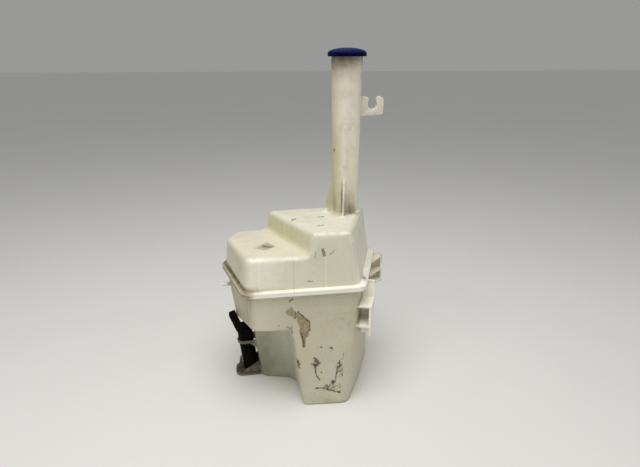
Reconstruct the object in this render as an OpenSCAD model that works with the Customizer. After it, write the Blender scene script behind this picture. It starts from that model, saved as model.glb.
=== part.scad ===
// Washer fluid reservoir: two welded half shells with a tall filler neck,
// a push-on filler cap and a motor pump clipped into a pocket at the lower left.
// Origin on the base plane, +Z up, front of the tank towards -Y.

/* [Tank plan at the weld seam] */
// Origin to the front wall
front_reach = 54; // [50:1:60]
// Origin to the back wall
back_reach = 94; // [88:1:104]
// Origin to the front left corner
front_left_reach = 92; // [88:1:98]
// Origin to the front right corner
front_right_reach = 70; // [66:1:76]
// Origin to the outermost left corner
left_reach = 121; // [118:1:126]
// Origin to the back left corner
back_left_reach = 103; // [98:1:108]
// Origin to the back right corner
back_right_reach = 119; // [114:1:126]
// Depth at which the left wall starts to turn in
left_corner_y = 62; // [56:1:68]

/* [Heights] */
// Height of the weld seam
seam_z = 190; // [182:1:200]
// Height of the low top deck above the seam
low_rise = 50; // [42:1:60]
// Height of the tall top deck above the low one
step_rise = 33; // [28:1:44]
// Height of the filler neck's rim above the tall deck
neck_rise = 230; // [170:1:270]

/* [Shell walls] */
// Wall thickness of the moulded shells
wall = 2.5; // [2:0.1:3.2]
// Rounding set-back of the upright corners
corner_set = 12; // [8:0.5:14]
// Rounding set-back of the two corners at the back left
chamfer_set = 7; // [5:0.5:9]
// Edge radius round the low deck
low_edge_r = 7; // [5:0.5:9]
// Edge radius round the tall deck
tall_edge_r = 8; // [5:0.5:9]
// Concave radius at the foot of the step
step_fillet_r = 9; // [5:0.5:12]
// Edge radius round the base
base_edge_r = 4; // [3:0.5:6]
// Edge radius under the recess
recess_edge_r = 6; // [4:0.5:8]

/* [Upper shell] */
// Lean of the front wall
front_draft = 5; // [3:0.5:7]
// Lean of the left wall
left_draft = 4.5; // [3:0.5:6]
// Lean of the right wall
right_draft = 9; // [7:0.5:11]
// Lean of the back wall at its left end
back_draft = 13; // [10:0.5:15]
// Lean of the back wall at its right end
back_right_draft = 4; // [2:0.5:6]
// Step corner at the front, right of the origin
step_front_x = 2; // [-6:1:10]
// Step corner at the back, left of the origin
step_back_reach = 54; // [46:1:60]
// Lean of the step wall
step_draft = 5; // [3:0.5:8]

/* [Weld flange] */
// Thickness of each flange
flange_t = 4; // [3:0.25:5]
// Reach of the flange beyond the wall
flange_reach = 6; // [5:0.5:8]
// Extra reach of the flange along the right side
flange_extra = 3; // [0:0.5:5]
// Edge round of the flange rims
flange_edge = 1.2; // [0.6:0.1:1.6]
// Edge round of the flanges beside the seam
seam_edge = 0.4; // [0.2:0.1:1]

/* [Filler neck] */
// Neck centre, right of the origin
neck_x = 68.5; // [64:0.5:70]
// Neck centre, behind the origin
neck_y = 57; // [52:1:60]
// Outside radius of the neck at the rim
neck_top_r = 22.5; // [20:0.5:23]
// Outside radius of the neck at its foot
neck_foot_r = 19.5; // [18.5:0.5:21]
// Wall thickness of the neck
neck_wall = 2; // [1.6:0.1:2.6]
// Radius of the fillet at the neck's foot
neck_fillet_r = 4; // [2:0.5:6]
// Height of the gussets on the neck
gusset_h = 52; // [40:1:64]
// Reach of the left gusset at its foot
gusset_left_reach = 13; // [9:1:16]
// Reach of the front gusset at its foot
gusset_front_reach = 17; // [12:1:20]
// Direction of the front gusset round the neck
gusset_front_turn = -106; // [-120:1:-90]
// Thickness of the gussets
gusset_t = 2.2; // [1.8:0.1:3]

/* [Hose hook] */
// Radius of the hook's round seat
hook_r = 7.2; // [5:0.2:8]
// Depth of the seat's centre below the neck's rim
hook_drop = 67.5; // [50:0.5:90]
// Seat centre to the neck's axis
hook_offset = 38.5; // [37:0.5:42]
// Width of the hook's outer arm
hook_arm = 9.5; // [6:0.5:11]
// Edge radius of the hook's lug and lower corner
hook_edge_r = 4; // [2:0.5:5]
// Drop of the hook's underside towards the neck
hook_fall = 2; // [0:0.5:4]
// Height of the arm above the seat's centre
hook_mouth = 11; // [9:0.5:14]
// Half width of the hook's mouth
hook_mouth_half = 6; // [4:0.25:6.5]
// Thickness of the hook below the seat
hook_floor = 8; // [5:0.5:10]
// Width of the hook along the hose
hook_w = 9; // [6:0.5:14]

/* [Filler cap] */
// Radius of the cap's rim
cap_r = 28; // [26.5:0.5:30]
// Height of the cap above the neck's rim
cap_h = 11; // [9:0.5:15]
// Wall thickness of the cap
cap_wall = 2.2; // [1.8:0.1:3]
// Depth of the cap's edge below the neck's rim
cap_skirt = 1; // [0.75:0.25:3]
// Depth of the cap's plug inside the neck
cap_plug = 9; // [6:0.5:14]
// Height of the cap's upright edge
cap_edge = 4.5; // [3:0.5:7]
// Clearance between the cap's plug and the neck
cap_gap = 0.35; // [0.3:0.05:0.6]

/* [Lower shell] */
// Lean of the lower left wall
lower_left_draft = 7.5; // [5:0.5:9]
// Front of the leg's foot beyond the front wall, left end
foot_front_left = 1; // [-2:0.5:3]
// Front of the leg's foot beyond the front wall, right end
foot_front_right = 6; // [2:0.5:8]
// Left edge of the leg's foot
leg_left_reach = 13; // [8:1:18]
// Lean of the leg's left wall
leg_draft = 6.5; // [4:0.5:8]
// Right edge of the leg's foot
leg_right_reach = 53; // [48:1:58]
// Right corner of the base
foot_right_reach = 84; // [80:1:90]
// Back right corner of the base
foot_back_right_reach = 118; // [108:1:122]
// Back of the base
foot_back_reach = 84; // [78:1:86]
// Left wall of the base beside the pump
pocket_reach = 72; // [68:1:76]
// Lean of the wall beside the pump, and of the pump
pocket_lean = 6.5; // [4:0.5:8]
// Recessed front wall at its left end
recess_y = 31; // [26:1:36]
// Recessed front wall beside the leg
recess_leg_y = 17; // [12:1:22]
// Lean of the recessed wall
recess_draft = 2.5; // [1:0.5:4]
// Height of the recess edge at the front
recess_z = 129; // [124:1:134]
// Drop of the recess ceiling towards the back
recess_drop = 14; // [8:1:18]
// Height of the pocket's edge at the far left
pocket_z = 98; // [96:1:104]
// Drop of the pocket's ceiling towards the tank
pocket_drop = 12; // [8:1:14]
// Concave set-back between the recess and the leg
recess_fillet = 24; // [16:1:28]

/* [Brackets] */
// Thickness of the bracket webs
web_t = 2.6; // [2:0.1:3.2]
// Upper bracket's end plate, right of the origin
upper_plate_x = 138; // [132:1:142]
// Front of the upper bracket's end plate
upper_plate_y = 76; // [72:1:78]
// Back of the upper bracket
upper_bracket_back = 88; // [84:1:92]
// Height of the upper bracket
upper_bracket_h = 48; // [42:1:54]
// Reach of the lower bracket's front corner beyond the wall
lower_bracket_reach = 23; // [18:1:26]
// Height of the lower bracket's upper shelf
lower_shelf_z = 158; // [152:1:162]
// Spacing of the lower bracket's shelves
shelf_step = 32; // [26:1:36]
// Bottom of the lower bracket's back web
lower_plate_z = 100; // [94:1:106]
// Rise of the end plate's lower edge towards the front
lower_plate_rise = 14; // [0:1:20]
// Thickness of the lower bracket's end plate
lower_plate_t = 3.5; // [2.5:0.25:4]
// Radius of the peg on the left wall
peg_r = 3; // [2:0.25:4]
// Length of the peg beyond the wall
peg_len = 12; // [8:1:14]
// Height of the peg
peg_z = 160; // [152:1:166]

/* [Pump] */
// Outside radius of the pump
pump_r = 12; // [11.5:0.25:13]
// Pump centre, behind the origin
pump_y = 53; // [50:1:56]
// Clear gap between pump and tank wall
pump_gap = 4; // [3.6:0.1:5]
// Height of the seat under the pump
seat_z = 9; // [7:0.5:12]
// Length of the pump
pump_len = 78; // [77:1:82]
// Wall thickness of the pump's mouldings
pump_wall = 1.3; // [1.1:0.1:1.5]
// Height of the inlet above the pump's underside
inlet_u = 9; // [8:0.5:10]
// Outside radius of the inlet spigot
inlet_r = 4.5; // [4:0.25:5]
// Bore radius of the inlet spigot
inlet_bore_r = 2.75; // [2:0.25:3.25]
// Outside radius of the outlet nipple
outlet_r = 2.75; // [2.5:0.25:3.25]
// Bore radius of the outlet nipple
outlet_bore_r = 1.6; // [1.2:0.1:2]
// Length of the outlet nipple beyond the pump
outlet_len = 15; // [12:1:18]
// Radius of the hose stop at the nipple's root
outlet_stop_r = 3.8; // [3.5:0.1:3.9]
// Reach of the hose stop beyond the pump
outlet_stop = 1.5; // [1:0.25:2.5]
// Width of the electrical connector along the tank wall
plug_w = 14; // [12:0.5:16]
// Depth of the electrical connector
plug_d = 10; // [9:0.5:11]
// Length of the electrical connector
plug_len = 26; // [22:1:28]
// Lean of the connector away from the pump's axis
plug_lean = 14.3; // [12:0.1:16]
// Radius of the grommet hole in the tank
grommet_hole_r = 7.1; // [6.5:0.1:8]
// Radius of the motor shaft
shaft_r = 1; // [0.8:0.05:1.25]
// Running clearance of the shaft in its bearings
shaft_gap = 0.04; // [0.02:0.01:0.08]
// Fitting clearance between fixed pieces
fit_gap = 0.1; // [0.06:0.02:0.16]
// Running clearance of the rotor
rotor_gap = 0.4; // [0.3:0.05:0.6]

/* [Hidden] */
$fn = 64;

// Heights above the base
low_top_z = seam_z + low_rise;
tall_top_z = low_top_z + step_rise;
neck_top_z = tall_top_z + neck_rise;
hook_z = neck_top_z - hook_drop;

// Points on each rounded corner of a ring
arc_n = 5;
// Set-back of corners that lie on a straight wall
small_set = 3;
// Overlap that makes joined forms one solid
weld = 1;
// Height between the last ring of one form and the first of the next
ring_step = 0.05;
// Smallest edge radius inside the shells
inner_r = 1.5;

tank_color = "#e4e1cf";
cap_color = "#1f3f9e";
pump_color = "#1b1b1c";
rubber_color = "#2c2c2c";
steel_color = "#b9bcc0";
copper_color = "#b4652d";
magnet_color = "#3a3835";
nylon_color = "#d9d4c4";

function unit(v) = v / norm(v);
function mix(a, b, t) = a + (b - a) * t;
function xyz(p, z) = [p[0], p[1], z];
function xy(p) = [p[0], p[1]];
// Left-hand normal of a plan direction, pointing into an outline listed anticlockwise
function inward(d) = [-d[1], d[0]];
function wrap(list, i) = list[(i + len(list)) % len(list)];
// Point at a given x on the line through two plan points
function along_x(a, b, x) = mix(a, b, (x - a[0]) / (b[0] - a[0]));
// Point at a given y on the line through two plan points
function along_y(a, b, y) = mix(a, b, (y - a[1]) / (b[1] - a[1]));

// Corner i of a plan outline moved inwards, each side by its own distance
function inset_corner(p, i, d) =
    let (a = unit(p[i] - wrap(p, i - 1)), b = unit(wrap(p, i + 1) - p[i]))
    p[i] + (inward(a) + inward(b)) * d / (1 + a * b);

// One corner rounded by a curve that starts and ends set back from it
function corner_arc(a, p, b, set) =
    let (
        sa = min(set, norm(a - p) * 0.46),
        sb = min(set, norm(b - p) * 0.46),
        from = p + unit(a - p) * sa,
        to = p + unit(b - p) * sb
    )
    [for (k = [0 : arc_n - 1])
        let (t = k / (arc_n - 1))
        mix(mix(from, p, t), mix(p, to, t), t)];

// Closed ring of points through corners [x, y, z] with set-backs
function ring(corners, sets) =
    [for (i = [0 : len(corners) - 1])
        each corner_arc(wrap(corners, i - 1), corners[i], wrap(corners, i + 1), sets[i])];

// Skin through rings listed from the bottom up, closed by fans from two middle points
module loft(rings, low_mid, high_mid) {
    n = len(rings[0]);
    last = len(rings) - 1;
    points = concat([for (r = rings) each r], [low_mid, high_mid]);
    low = (last + 1) * n;
    high = low + 1;
    sides = [for (j = [0 : last - 1], i = [0 : n - 1])
        let (a = j * n + i, b = j * n + (i + 1) % n)
        each [[a, a + n, b], [b, a + n, b + n]]];
    bottom = [for (i = [0 : n - 1]) [low, i, (i + 1) % n]];
    top = [for (i = [0 : n - 1]) [high, last * n + (i + 1) % n, last * n + i]];
    polyhedron(points = points, faces = concat(sides, bottom, top));
}

// Upper shell

// Corners run anticlockwise: far left, front left, step front, front of the tall block,
// front right, back right, back of the tall block, step back, back left
function upper_plan(z) =
    let (
        h = z - seam_z,
        front = -front_reach + h * tan(front_draft),
        left = h * tan(left_draft),
        right = h * tan(right_draft),
        bl = [-back_left_reach + left, back_reach - h * tan(back_draft)],
        br = [back_right_reach - right, back_reach - h * tan(back_right_draft)]
    )
    [
        [-left_reach + left, left_corner_y - h * tan(back_draft)],
        [-front_left_reach + left, front],
        [step_front_x - low_stop, front],
        [step_front_x - tall_stop, front],
        [front_right_reach - right, front],
        br,
        along_x(bl, br, -step_back_reach - tall_stop),
        along_x(bl, br, -step_back_reach - low_stop),
        bl
    ];
// Distances from the step to where the low edge starts to fade and where it has gone
low_stop = step_fillet_r * 1.5;
tall_stop = step_fillet_r / 2;
step_set = corner_set / 2;
upper_sets = [chamfer_set, corner_set, small_set, step_set, corner_set,
              corner_set, step_set, small_set, chamfer_set];
step_sets = [small_set, small_set, small_set, step_set, corner_set,
             corner_set, step_set, small_set, small_set];

// Corners of the low deck, which end at the step: far left, front left, front, back, back left
low_side = [0, 1, 2, 7, 8];
function is_low(i) = len(search(i, low_side)) > 0;

// Ring of the low block: its own corners move in by d, to round the low deck's edge
function low_ring(z, d, w) =
    let (p = upper_plan(z))
    ring([for (i = [0 : 8]) xyz(inset_corner(p, i, is_low(i) ? w + d : w), z)], upper_sets);

// Plan of the tall block: the low corners lie along the step wall, pushed out by the fillet.
// Its two ends turn sharper from the low block's rounded edges to full corners as k goes to 1.
function tall_plan(z, out, k) =
    let (
        p = upper_plan(z),
        lean = (z - low_top_z) * tan(step_draft),
        f = [step_front_x + lean - out, p[3][1]],
        b = along_x(p[8], p[5], -step_back_reach + lean - out),
        keep = lean - min(out, tall_stop),
        turn = unit(b - f) * (low_edge_r + step_set * k)
    )
    [
        mix(b, f, 0.5), mix(b, f, 0.75), f + turn, [step_front_x + keep, p[3][1]], p[4],
        p[5], along_x(p[8], p[5], -step_back_reach + keep), b - turn, mix(b, f, 0.25)
    ];
function tall_ring(z, out, k, d) =
    let (p = tall_plan(z, out, k))
    ring([for (i = [0 : 8]) xyz(inset_corner(p, i, d), z)], step_sets);

// All rings of the upper skin; w is the distance inside the outer face
function upper_rings(z_start, w) =
    let (
        lr = max(low_edge_r - w, inner_r),
        tr = max(tall_edge_r - w, inner_r),
        low = low_top_z - w,
        tall = tall_top_z - w,
        fr = step_fillet_r + w
    )
    concat(
        [low_ring(z_start, 0, w)],
        [for (a = [0 : 30 : 90]) low_ring(low - lr + lr * sin(a), lr * (1 - cos(a)), w)],
        [for (a = [0 : 30 : 90])
            tall_ring(low + ring_step + fr * (1 - cos(a)), step_fillet_r * (1 - sin(a)), 1 - cos(a), w)],
        [for (a = [0 : 30 : 90]) tall_ring(tall - tr + tr * sin(a), 0, 1, w + tr * (1 - cos(a)))]
    );

module upper_skin(z_start, w) {
    top = tall_plan(tall_top_z, 0, 1);
    loft(upper_rings(z_start, w), [0, 0, z_start], xyz(mix(top[4], top[6], 0.5), tall_top_z - w));
}

// Flange rim round the seam between two heights, wider along the right side
seam_plan = upper_plan(seam_z);
rim_plan = [for (i = [0 : 8]) seam_plan[i] + [i == 4 || i == 5 ? flange_extra : 0, 0]];
function rim_ring(z, out) =
    ring([for (i = [0 : 8]) xyz(inset_corner(rim_plan, i, -out), z)], upper_sets);
module flange(z, low_edge, high_edge) {
    loft([
        rim_ring(z, flange_reach - low_edge),
        rim_ring(z + low_edge, flange_reach),
        rim_ring(z + flange_t - high_edge, flange_reach),
        rim_ring(z + flange_t, flange_reach - high_edge)
    ], [0, 0, z], [0, 0, z + flange_t]);
}

neck_foot_z = tall_top_z - wall / 2;
function neck_r(z) = mix(neck_foot_r, neck_top_r, (z - neck_foot_z) / (neck_top_z - neck_foot_z));

// Outside of the neck with its foot fillet
module neck_outside() {
    rotate_extrude()
        polygon(concat(
            [[0, neck_foot_z], [neck_foot_r + neck_fillet_r, neck_foot_z]],
            [for (a = [0 : 15 : 90])
                [neck_foot_r + neck_fillet_r * (1 - sin(a)), tall_top_z + neck_fillet_r * (1 - cos(a))]],
            [[neck_top_r, neck_straight_z], [neck_top_r, neck_top_z], [0, neck_top_z]]));
}
// Below this height the neck tapers
neck_straight_z = neck_top_z - cap_plug - 2 * weld;

module neck_bore() {
    rotate_extrude()
        polygon([
            [0, tall_top_z - 2 * wall], [neck_foot_r - neck_wall, tall_top_z - 2 * wall],
            [neck_foot_r - neck_wall, tall_top_z], [neck_top_r - neck_wall, neck_straight_z],
            [neck_top_r - neck_wall, neck_top_z + weld], [0, neck_top_z + weld]]);
}

// Upright rib from the neck down to the tall deck, pointing along +X
module gusset(reach) {
    top = tall_top_z + gusset_h;
    rotate([90, 0, 0])
        linear_extrude(gusset_t, center = true)
            polygon([
                [0, neck_foot_z], [neck_foot_r + reach, neck_foot_z],
                [neck_foot_r + reach, tall_top_z + gusset_t], [neck_r(top) + weld / 2, top], [0, top]]);
}

// Open hook on the neck's right side: a round seat for a hose between a lug and an arm
module hose_hook() {
    inner_x = neck_r(hook_z) - weld;
    outer_x = hook_offset + hook_r + hook_arm;
    lug_x = hook_offset - hook_mouth_half;
    low_z = hook_z - hook_r - hook_floor;
    top_z = hook_z + hook_mouth;
    arm_r = (outer_x - hook_offset - hook_mouth_half) / 2;
    rotate([90, 0, 0])
        linear_extrude(hook_w, center = true)
            difference() {
                union() {
                    polygon([[inner_x, low_z - hook_fall], [outer_x - hook_edge_r, low_z],
                             [outer_x, low_z + hook_edge_r], [outer_x, top_z - arm_r],
                             [lug_x, top_z - arm_r], [lug_x, top_z - hook_edge_r],
                             [lug_x - hook_edge_r, top_z], [inner_x, top_z]]);
                    translate([outer_x - arm_r, top_z - arm_r]) circle(arm_r);
                    translate([lug_x - hook_edge_r, top_z - hook_edge_r]) circle(hook_edge_r);
                    translate([outer_x - hook_edge_r, low_z + hook_edge_r]) circle(hook_edge_r);
                }
                translate([hook_offset, hook_z]) circle(hook_r);
                translate([lug_x, hook_z]) square([2 * hook_mouth_half, 2 * hook_mouth]);
            }
}

module upper_shell() {
    color(tank_color)
        difference() {
            union() {
                upper_skin(seam_z + weld, 0);
                flange(seam_z, seam_edge, flange_edge);
                translate([neck_x, neck_y, 0]) {
                    neck_outside();
                    rotate(180) gusset(gusset_left_reach);
                    rotate(gusset_front_turn) gusset(gusset_front_reach);
                    hose_hook();
                }
            }
            upper_skin(seam_z - weld, wall);
            translate([neck_x, neck_y, 0]) neck_bore();
        }
}

// Lower shell

// Corners run anticlockwise: far left, front left, recess middle, recess end, leg front left,
// front right, right, back right, back, back left
function shared_plan(z) =
    let (
        t = z / seam_z,
        seam_fr = [front_right_reach, -front_reach],
        seam_br = [back_right_reach, back_reach],
        back = mix(foot_back_reach, back_reach, t)
    )
    [
        [-leg_left_reach - z * tan(leg_draft), -front_reach - foot_front_left * (1 - t)],
        mix([leg_right_reach, -front_reach - foot_front_right], seam_fr, t),
        mix([foot_right_reach, 0], mix(seam_fr, seam_br, 0.4), t),
        mix([foot_back_right_reach, foot_back_reach], seam_br, t),
        [-pocket_reach + 2 * corner_set, back]
    ];
function pocket_x(z) = -pocket_reach - z * tan(pocket_lean);

// Plan below the recess: the left walls stand back beside the pump and behind the leg
function base_plan(z) =
    let (
        s = shared_plan(z),
        x = pocket_x(z),
        lean = z * tan(recess_draft),
        left = [x, recess_y - lean],
        end = [s[0][0] - leg_root, recess_leg_y - lean]
    )
    concat([[x, pump_y + corner_set], left, mix(left, end, 0.4), end], s, [[x, s[4][1]]]);

// Plan above the recess: the full outline of the seam, drafted downwards
function side_plan(z) =
    let (
        s = shared_plan(z),
        lean = (seam_z - z) * tan(lower_left_draft),
        left = [-front_left_reach + lean, s[0][1]]
    )
    concat(
        [[-left_reach + lean, left_corner_y], left, mix(left, s[0], 0.5), s[0] - [opening_step, 0]],
        s,
        [[-back_left_reach + lean, s[4][1]]]
    );

lower_n = 10;
// Distance of the recess's upper corner from the leg's edge
opening_step = 2;
// Width by which the leg grows towards the recessed wall
leg_root = 4;
// Rounding set-backs of the pocket, of the leg's front edge and of the recess's upper corner
pocket_set = 9;
leg_set = 6;
opening_set = 7;
base_sets = [small_set, pocket_set, small_set, recess_fillet, leg_set,
             corner_set, corner_set, corner_set, small_set, pocket_set];
side_sets = [chamfer_set, corner_set, small_set, opening_set, small_set,
             corner_set, corner_set, corner_set, small_set, chamfer_set];

// Heights of the recess edge and of the ceiling behind it, corner by corner
function edge_z(i) =
    i == 0 ? pocket_z
    : i == 1 ? recess_z + opening_step
    : i == 9 ? pocket_z - pocket_drop / 2
    : recess_z;
function ceiling_z(i) = i == 0 || i == 9 ? pocket_z - pocket_drop : recess_z - recess_drop;
leg_edge_z = recess_z - 2 * opening_set;
function is_recess(i) = i <= 3 || i == 9;

function base_ring(z, d) =
    let (p = base_plan(z))
    ring([for (i = [0 : lower_n - 1]) xyz(inset_corner(p, i, d), z)], base_sets);

// Ring where the recess walls meet their ceiling
function ceiling_ring(w) =
    ring([for (i = [0 : lower_n - 1])
        let (z = is_recess(i) ? ceiling_z(i) + w : leg_edge_z - recess_drop)
        xyz(inset_corner(base_plan(z), i, w), z)], base_sets);

// Ring round the lower edge of the overhanging walls, moved in by d and raised by h
function edge_ring(h, d, w) =
    ring([for (i = [0 : lower_n - 1])
        let (z = (is_recess(i) ? edge_z(i) + w : leg_edge_z) + h)
        xyz(inset_corner(side_plan(z), i, is_recess(i) ? w + d : w), z)], side_sets);

function side_ring(z, w) =
    let (p = side_plan(z))
    ring([for (i = [0 : lower_n - 1]) xyz(inset_corner(p, i, w), z)], side_sets);

function lower_rings(z_end, w) =
    let (
        br = max(base_edge_r - w, inner_r),
        er = max(recess_edge_r - w, inner_r)
    )
    concat(
        [for (a = [90 : -30 : 0]) base_ring(w + br * (1 - sin(a)), w + br * (1 - cos(a)))],
        [ceiling_ring(w)],
        [for (a = [90 : -30 : 0]) edge_ring(er * (1 - sin(a)), er * (1 - cos(a)), w)],
        [side_ring(z_end, w)]
    );

module lower_skin(z_end, w) {
    loft(lower_rings(z_end, w), [0, pump_y, w], [0, 0, z_end]);
}

// Level plate between two heights
module shelf(outline, z) {
    translate([0, 0, z])
        linear_extrude(web_t)
            polygon(outline);
}

// Upright plate through two plan points, on the left of the way from the first to the second.
// Its lower edge runs from height low to height low_end.
module upright(a, b, low, low_end, high, thick) {
    way = b - a;
    translate(xyz(a, 0))
        rotate([90, 0, atan2(way[1], way[0])])
            translate([0, 0, -thick])
                linear_extrude(thick)
                    polygon([[0, low], [norm(way), low_end], [norm(way), high], [0, high]]);
}

// Upper bracket: three shelves, an end plate and a back web under the flange's right rear corner
mid_shelf = 0.45;
module upper_bracket() {
    top = seam_z - flange_t;
    bottom = top - upper_bracket_h;
    root = upper_plate_x - right_wall(upper_plate_y)[0];
    plan = [
        [upper_plate_x - root - wall, upper_plate_y - root - wall],
        [upper_plate_x, upper_plate_y],
        [upper_plate_x, upper_bracket_back],
        [upper_plate_x - root, upper_bracket_back]
    ];
    shelf(plan, bottom + web_t);
    shelf(plan, bottom + upper_bracket_h * mid_shelf);
    shelf(plan, top - web_t - flange_edge);
    upright(plan[1], plan[2], bottom, bottom, top, web_t);
    upright(plan[2], plan[3] - [corner_set, 0], bottom, bottom, top, web_t);
}

// Point of the right wall at the seam for a given depth
function right_wall(y) = along_y([front_right_reach, -front_reach], [back_right_reach, back_reach], y);

// Lower bracket: an end plate, a tall back web and two shelves that end inside them; open to the front
bracket_front_set = 10;
bracket_back_set = 8;
shelf_slot = 0.3;
// Lip of the end plate above the upper shelf
bracket_lip = 0.5;
module lower_bracket() {
    front = [leg_right_reach + bracket_front_set, -front_reach + wall];
    back = [foot_right_reach - bracket_back_set, -front_reach / 3];
    out = [lower_bracket_reach, -lower_bracket_reach / 3];
    plan = [front, front + out, back + out, back];
    far = out * (1 - weld / norm(out));
    rear = mix(back, front, weld / norm(back - front));
    deck = [front, front + far, rear + far, rear];
    top = seam_z - flange_t / 2;
    difference() {
        union() {
            shelf(deck, lower_shelf_z);
            shelf(deck, lower_shelf_z - shelf_step);
            upright(plan[1], plan[2], lower_plate_z + lower_plate_rise, lower_plate_z,
                    lower_shelf_z + web_t + bracket_lip, lower_plate_t);
            upright(plan[2], plan[3], lower_plate_z, lower_plate_z, top, web_t);
        }
        translate(xyz(mix(plan[0], plan[2], shelf_slot), lower_shelf_z - shelf_step - weld))
            cube([3 * web_t, web_t, web_t + 2 * weld]);
    }
}

module wall_peg() {
    x = -left_reach + (seam_z - peg_z) * tan(lower_left_draft);
    translate([x - peg_len, left_corner_y - peg_len / 2, peg_z])
        rotate([0, 90, 0])
            cylinder(h = peg_len + 3 * peg_r, r = peg_r);
}

// Pump frame: origin under the pump, Z along its axis, X square to the tank wall
wall_x = pump_r + pump_gap;
wall_in = wall_x + wall * cos(pocket_lean);
pump_foot = [pocket_x(seat_z) - wall_x / cos(pocket_lean), pump_y, seat_z];
module at_pump() {
    translate(pump_foot)
        rotate([0, -pocket_lean, 0])
            children();
}

// Round form lying along the pump's local X at the inlet
module at_inlet(x) {
    translate([x, 0, inlet_u])
        rotate([0, 90, 0])
            children();
}

// Clearance round the pump where the seat and strap hold it
strap_gap = 0.5;
strap_t = 2;
strap_h = 4.5;
strap_place = 0.64;
strap_u = pump_len * strap_place;
tray_z = 1.5;
tray_t = 3.5;
tray_margin = 5;
tray_half = pump_r + tray_margin;
tray_reach = 13;

// U-shaped strap from the wall round the pump, with webs under its arms
module strap() {
    inner = pump_r + strap_gap;
    outer = inner + strap_t;
    translate([0, 0, strap_u])
        linear_extrude(strap_h)
            difference() {
                union() {
                    circle(outer);
                    translate([0, -outer]) square([wall_x + weld, 2 * outer]);
                }
                circle(inner);
                translate([0, -inner]) square([wall_x + 2 * weld, 2 * inner]);
            }
    for (y = [-outer, inner])
        translate([0, y + strap_t, 0])
            rotate([90, 0, 0])
                linear_extrude(strap_t)
                    polygon([[wall_x + weld, strap_u + weld], [pump_gap, strap_u + weld],
                             [wall_x + weld, strap_u - pump_r]]);
}

// Tray under the pump with its seat pad, side gussets and outer lug
module pump_tray() {
    x_out = pump_foot[0] - pump_r - tray_reach;
    x_in = -pocket_reach + 2 * weld;
    corners = [[x_in, pump_y + tray_half], [x_out, pump_y + tray_half],
               [x_out, pump_y - tray_half], [x_in, pump_y - tray_half]];
    sets = [weld, corner_set, corner_set, weld];
    loft([
        ring([for (c = corners) xyz(c, tray_z)], sets),
        ring([for (c = corners) xyz(c, tray_z + tray_t)], sets)
    ], [pump_foot[0], pump_y, tray_z], [pump_foot[0], pump_y, tray_z + tray_t]);
    for (side = [-1, 1])
        translate([0, pump_y + side * (tray_half - web_t) + web_t / 2, 0])
            rotate([90, 0, 0])
                linear_extrude(web_t)
                    polygon([[x_in, tray_z + weld], [x_in, gusset_top],
                             [pocket_x(gusset_top) + weld, gusset_top],
                             [pump_foot[0] - pump_r, tray_z + 2 * tray_t],
                             [pump_foot[0] - pump_r, tray_z + weld]]);
}
tray_gusset_h = 18;
gusset_top = seat_z + tray_gusset_h;

// Pad that carries the pump and the lug beside it, square to the pump's axis
module pump_seat() {
    translate([0, 0, tray_z + tray_t / 2 - seat_z])
        cylinder(h = seat_z - tray_z - tray_t / 2, r = pump_r - weld);
    lug_x = -pump_r - strap_gap;
    translate([0, web_t / 2, 0])
        rotate([90, 0, 0])
            linear_extrude(web_t)
                polygon([[lug_x, -seat_z + 2 * tray_z], [lug_x, inlet_u + pump_r],
                         [lug_x - strap_t, inlet_u + pump_r],
                         [lug_x - tray_reach + 2 * strap_t, 0],
                         [lug_x - tray_reach + 2 * strap_t, -seat_z + 2 * tray_z]]);
}

module lower_shell() {
    color(tank_color)
        difference() {
            union() {
                lower_skin(seam_z - weld, 0);
                flange(seam_z - flange_t, flange_edge, seam_edge);
                upper_bracket();
                lower_bracket();
                wall_peg();
                pump_tray();
                at_pump() {
                    pump_seat();
                    strap();
                }
            }
            lower_skin(seam_z + weld, wall);
            at_pump()
                at_inlet(wall_x - weld)
                    cylinder(h = wall + 3 * weld, r = grommet_hole_r);
        }
}

// Push-on cap: a low dome resting on the neck's rim, with a plug inside the neck
module filler_cap() {
    plug_r = neck_top_r - neck_wall - cap_gap;
    edge_z = neck_top_z - cap_skirt + cap_edge;
    dome_z = neck_top_z + cap_h;
    color(cap_color)
        translate([neck_x, neck_y, 0])
            rotate_extrude()
                polygon(concat(
                    [[0, dome_z - cap_wall], [plug_r - cap_wall, neck_top_z],
                     [plug_r - cap_wall, neck_top_z - cap_plug],
                     [plug_r - cap_gap, neck_top_z - cap_plug], [plug_r, neck_top_z - cap_plug + cap_wall],
                     [plug_r, neck_top_z], [cap_r - cap_wall, neck_top_z],
                     [cap_r - cap_wall, neck_top_z - cap_skirt], [cap_r, neck_top_z - cap_skirt]],
                    [for (a = [0 : 10 : 90])
                        [cap_r * cos(a), edge_z + (dome_z - edge_z) * sin(a)]]));
}

// Pump heights above its underside
cover_u = 15;
partition_u = 23;
body_u = 27;
spigot_u = 31;
roof = 7;
cavity_u = pump_len - roof;
shaft_top_u = cavity_u - weld;
plate_t = 2;
plate_drop = 7;
plate_u = cavity_u - plate_drop;
can_u = spigot_u + fit_gap;
can_top_u = plate_u + plate_t;
outlet_u = (cover_u + partition_u) / 2;
commutator_len = 6.5;
commutator_u = plate_u - commutator_len;
core_set = 9;
core_u = can_u + core_set;
coil_room = 4;
core_top_u = commutator_u - coil_room;

// Pump radii from the outside in
bore_r = pump_r - pump_wall;
can_r = bore_r - fit_gap;
can_wall = 0.7;
magnet_r = can_r - can_wall - fit_gap;
magnet_t = 1.8;
core_r = magnet_r - magnet_t - rotor_gap;
chamber_wall = 2.8;
chamber_r = pump_r - chamber_wall;
impeller_r = chamber_r - 2 * rotor_gap;
hub_r = shaft_r + fit_gap;
bearing_r = 2.5;
bearing_len = 4;
seal_r = 4.4;
commutator_r = 2.6;

// Round tube between two heights
module tube(r, bore, low, high) {
    difference() {
        translate([0, 0, low]) cylinder(h = high - low, r = r);
        translate([0, 0, low - weld]) cylinder(h = high - low + 2 * weld, r = bore);
    }
}

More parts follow.
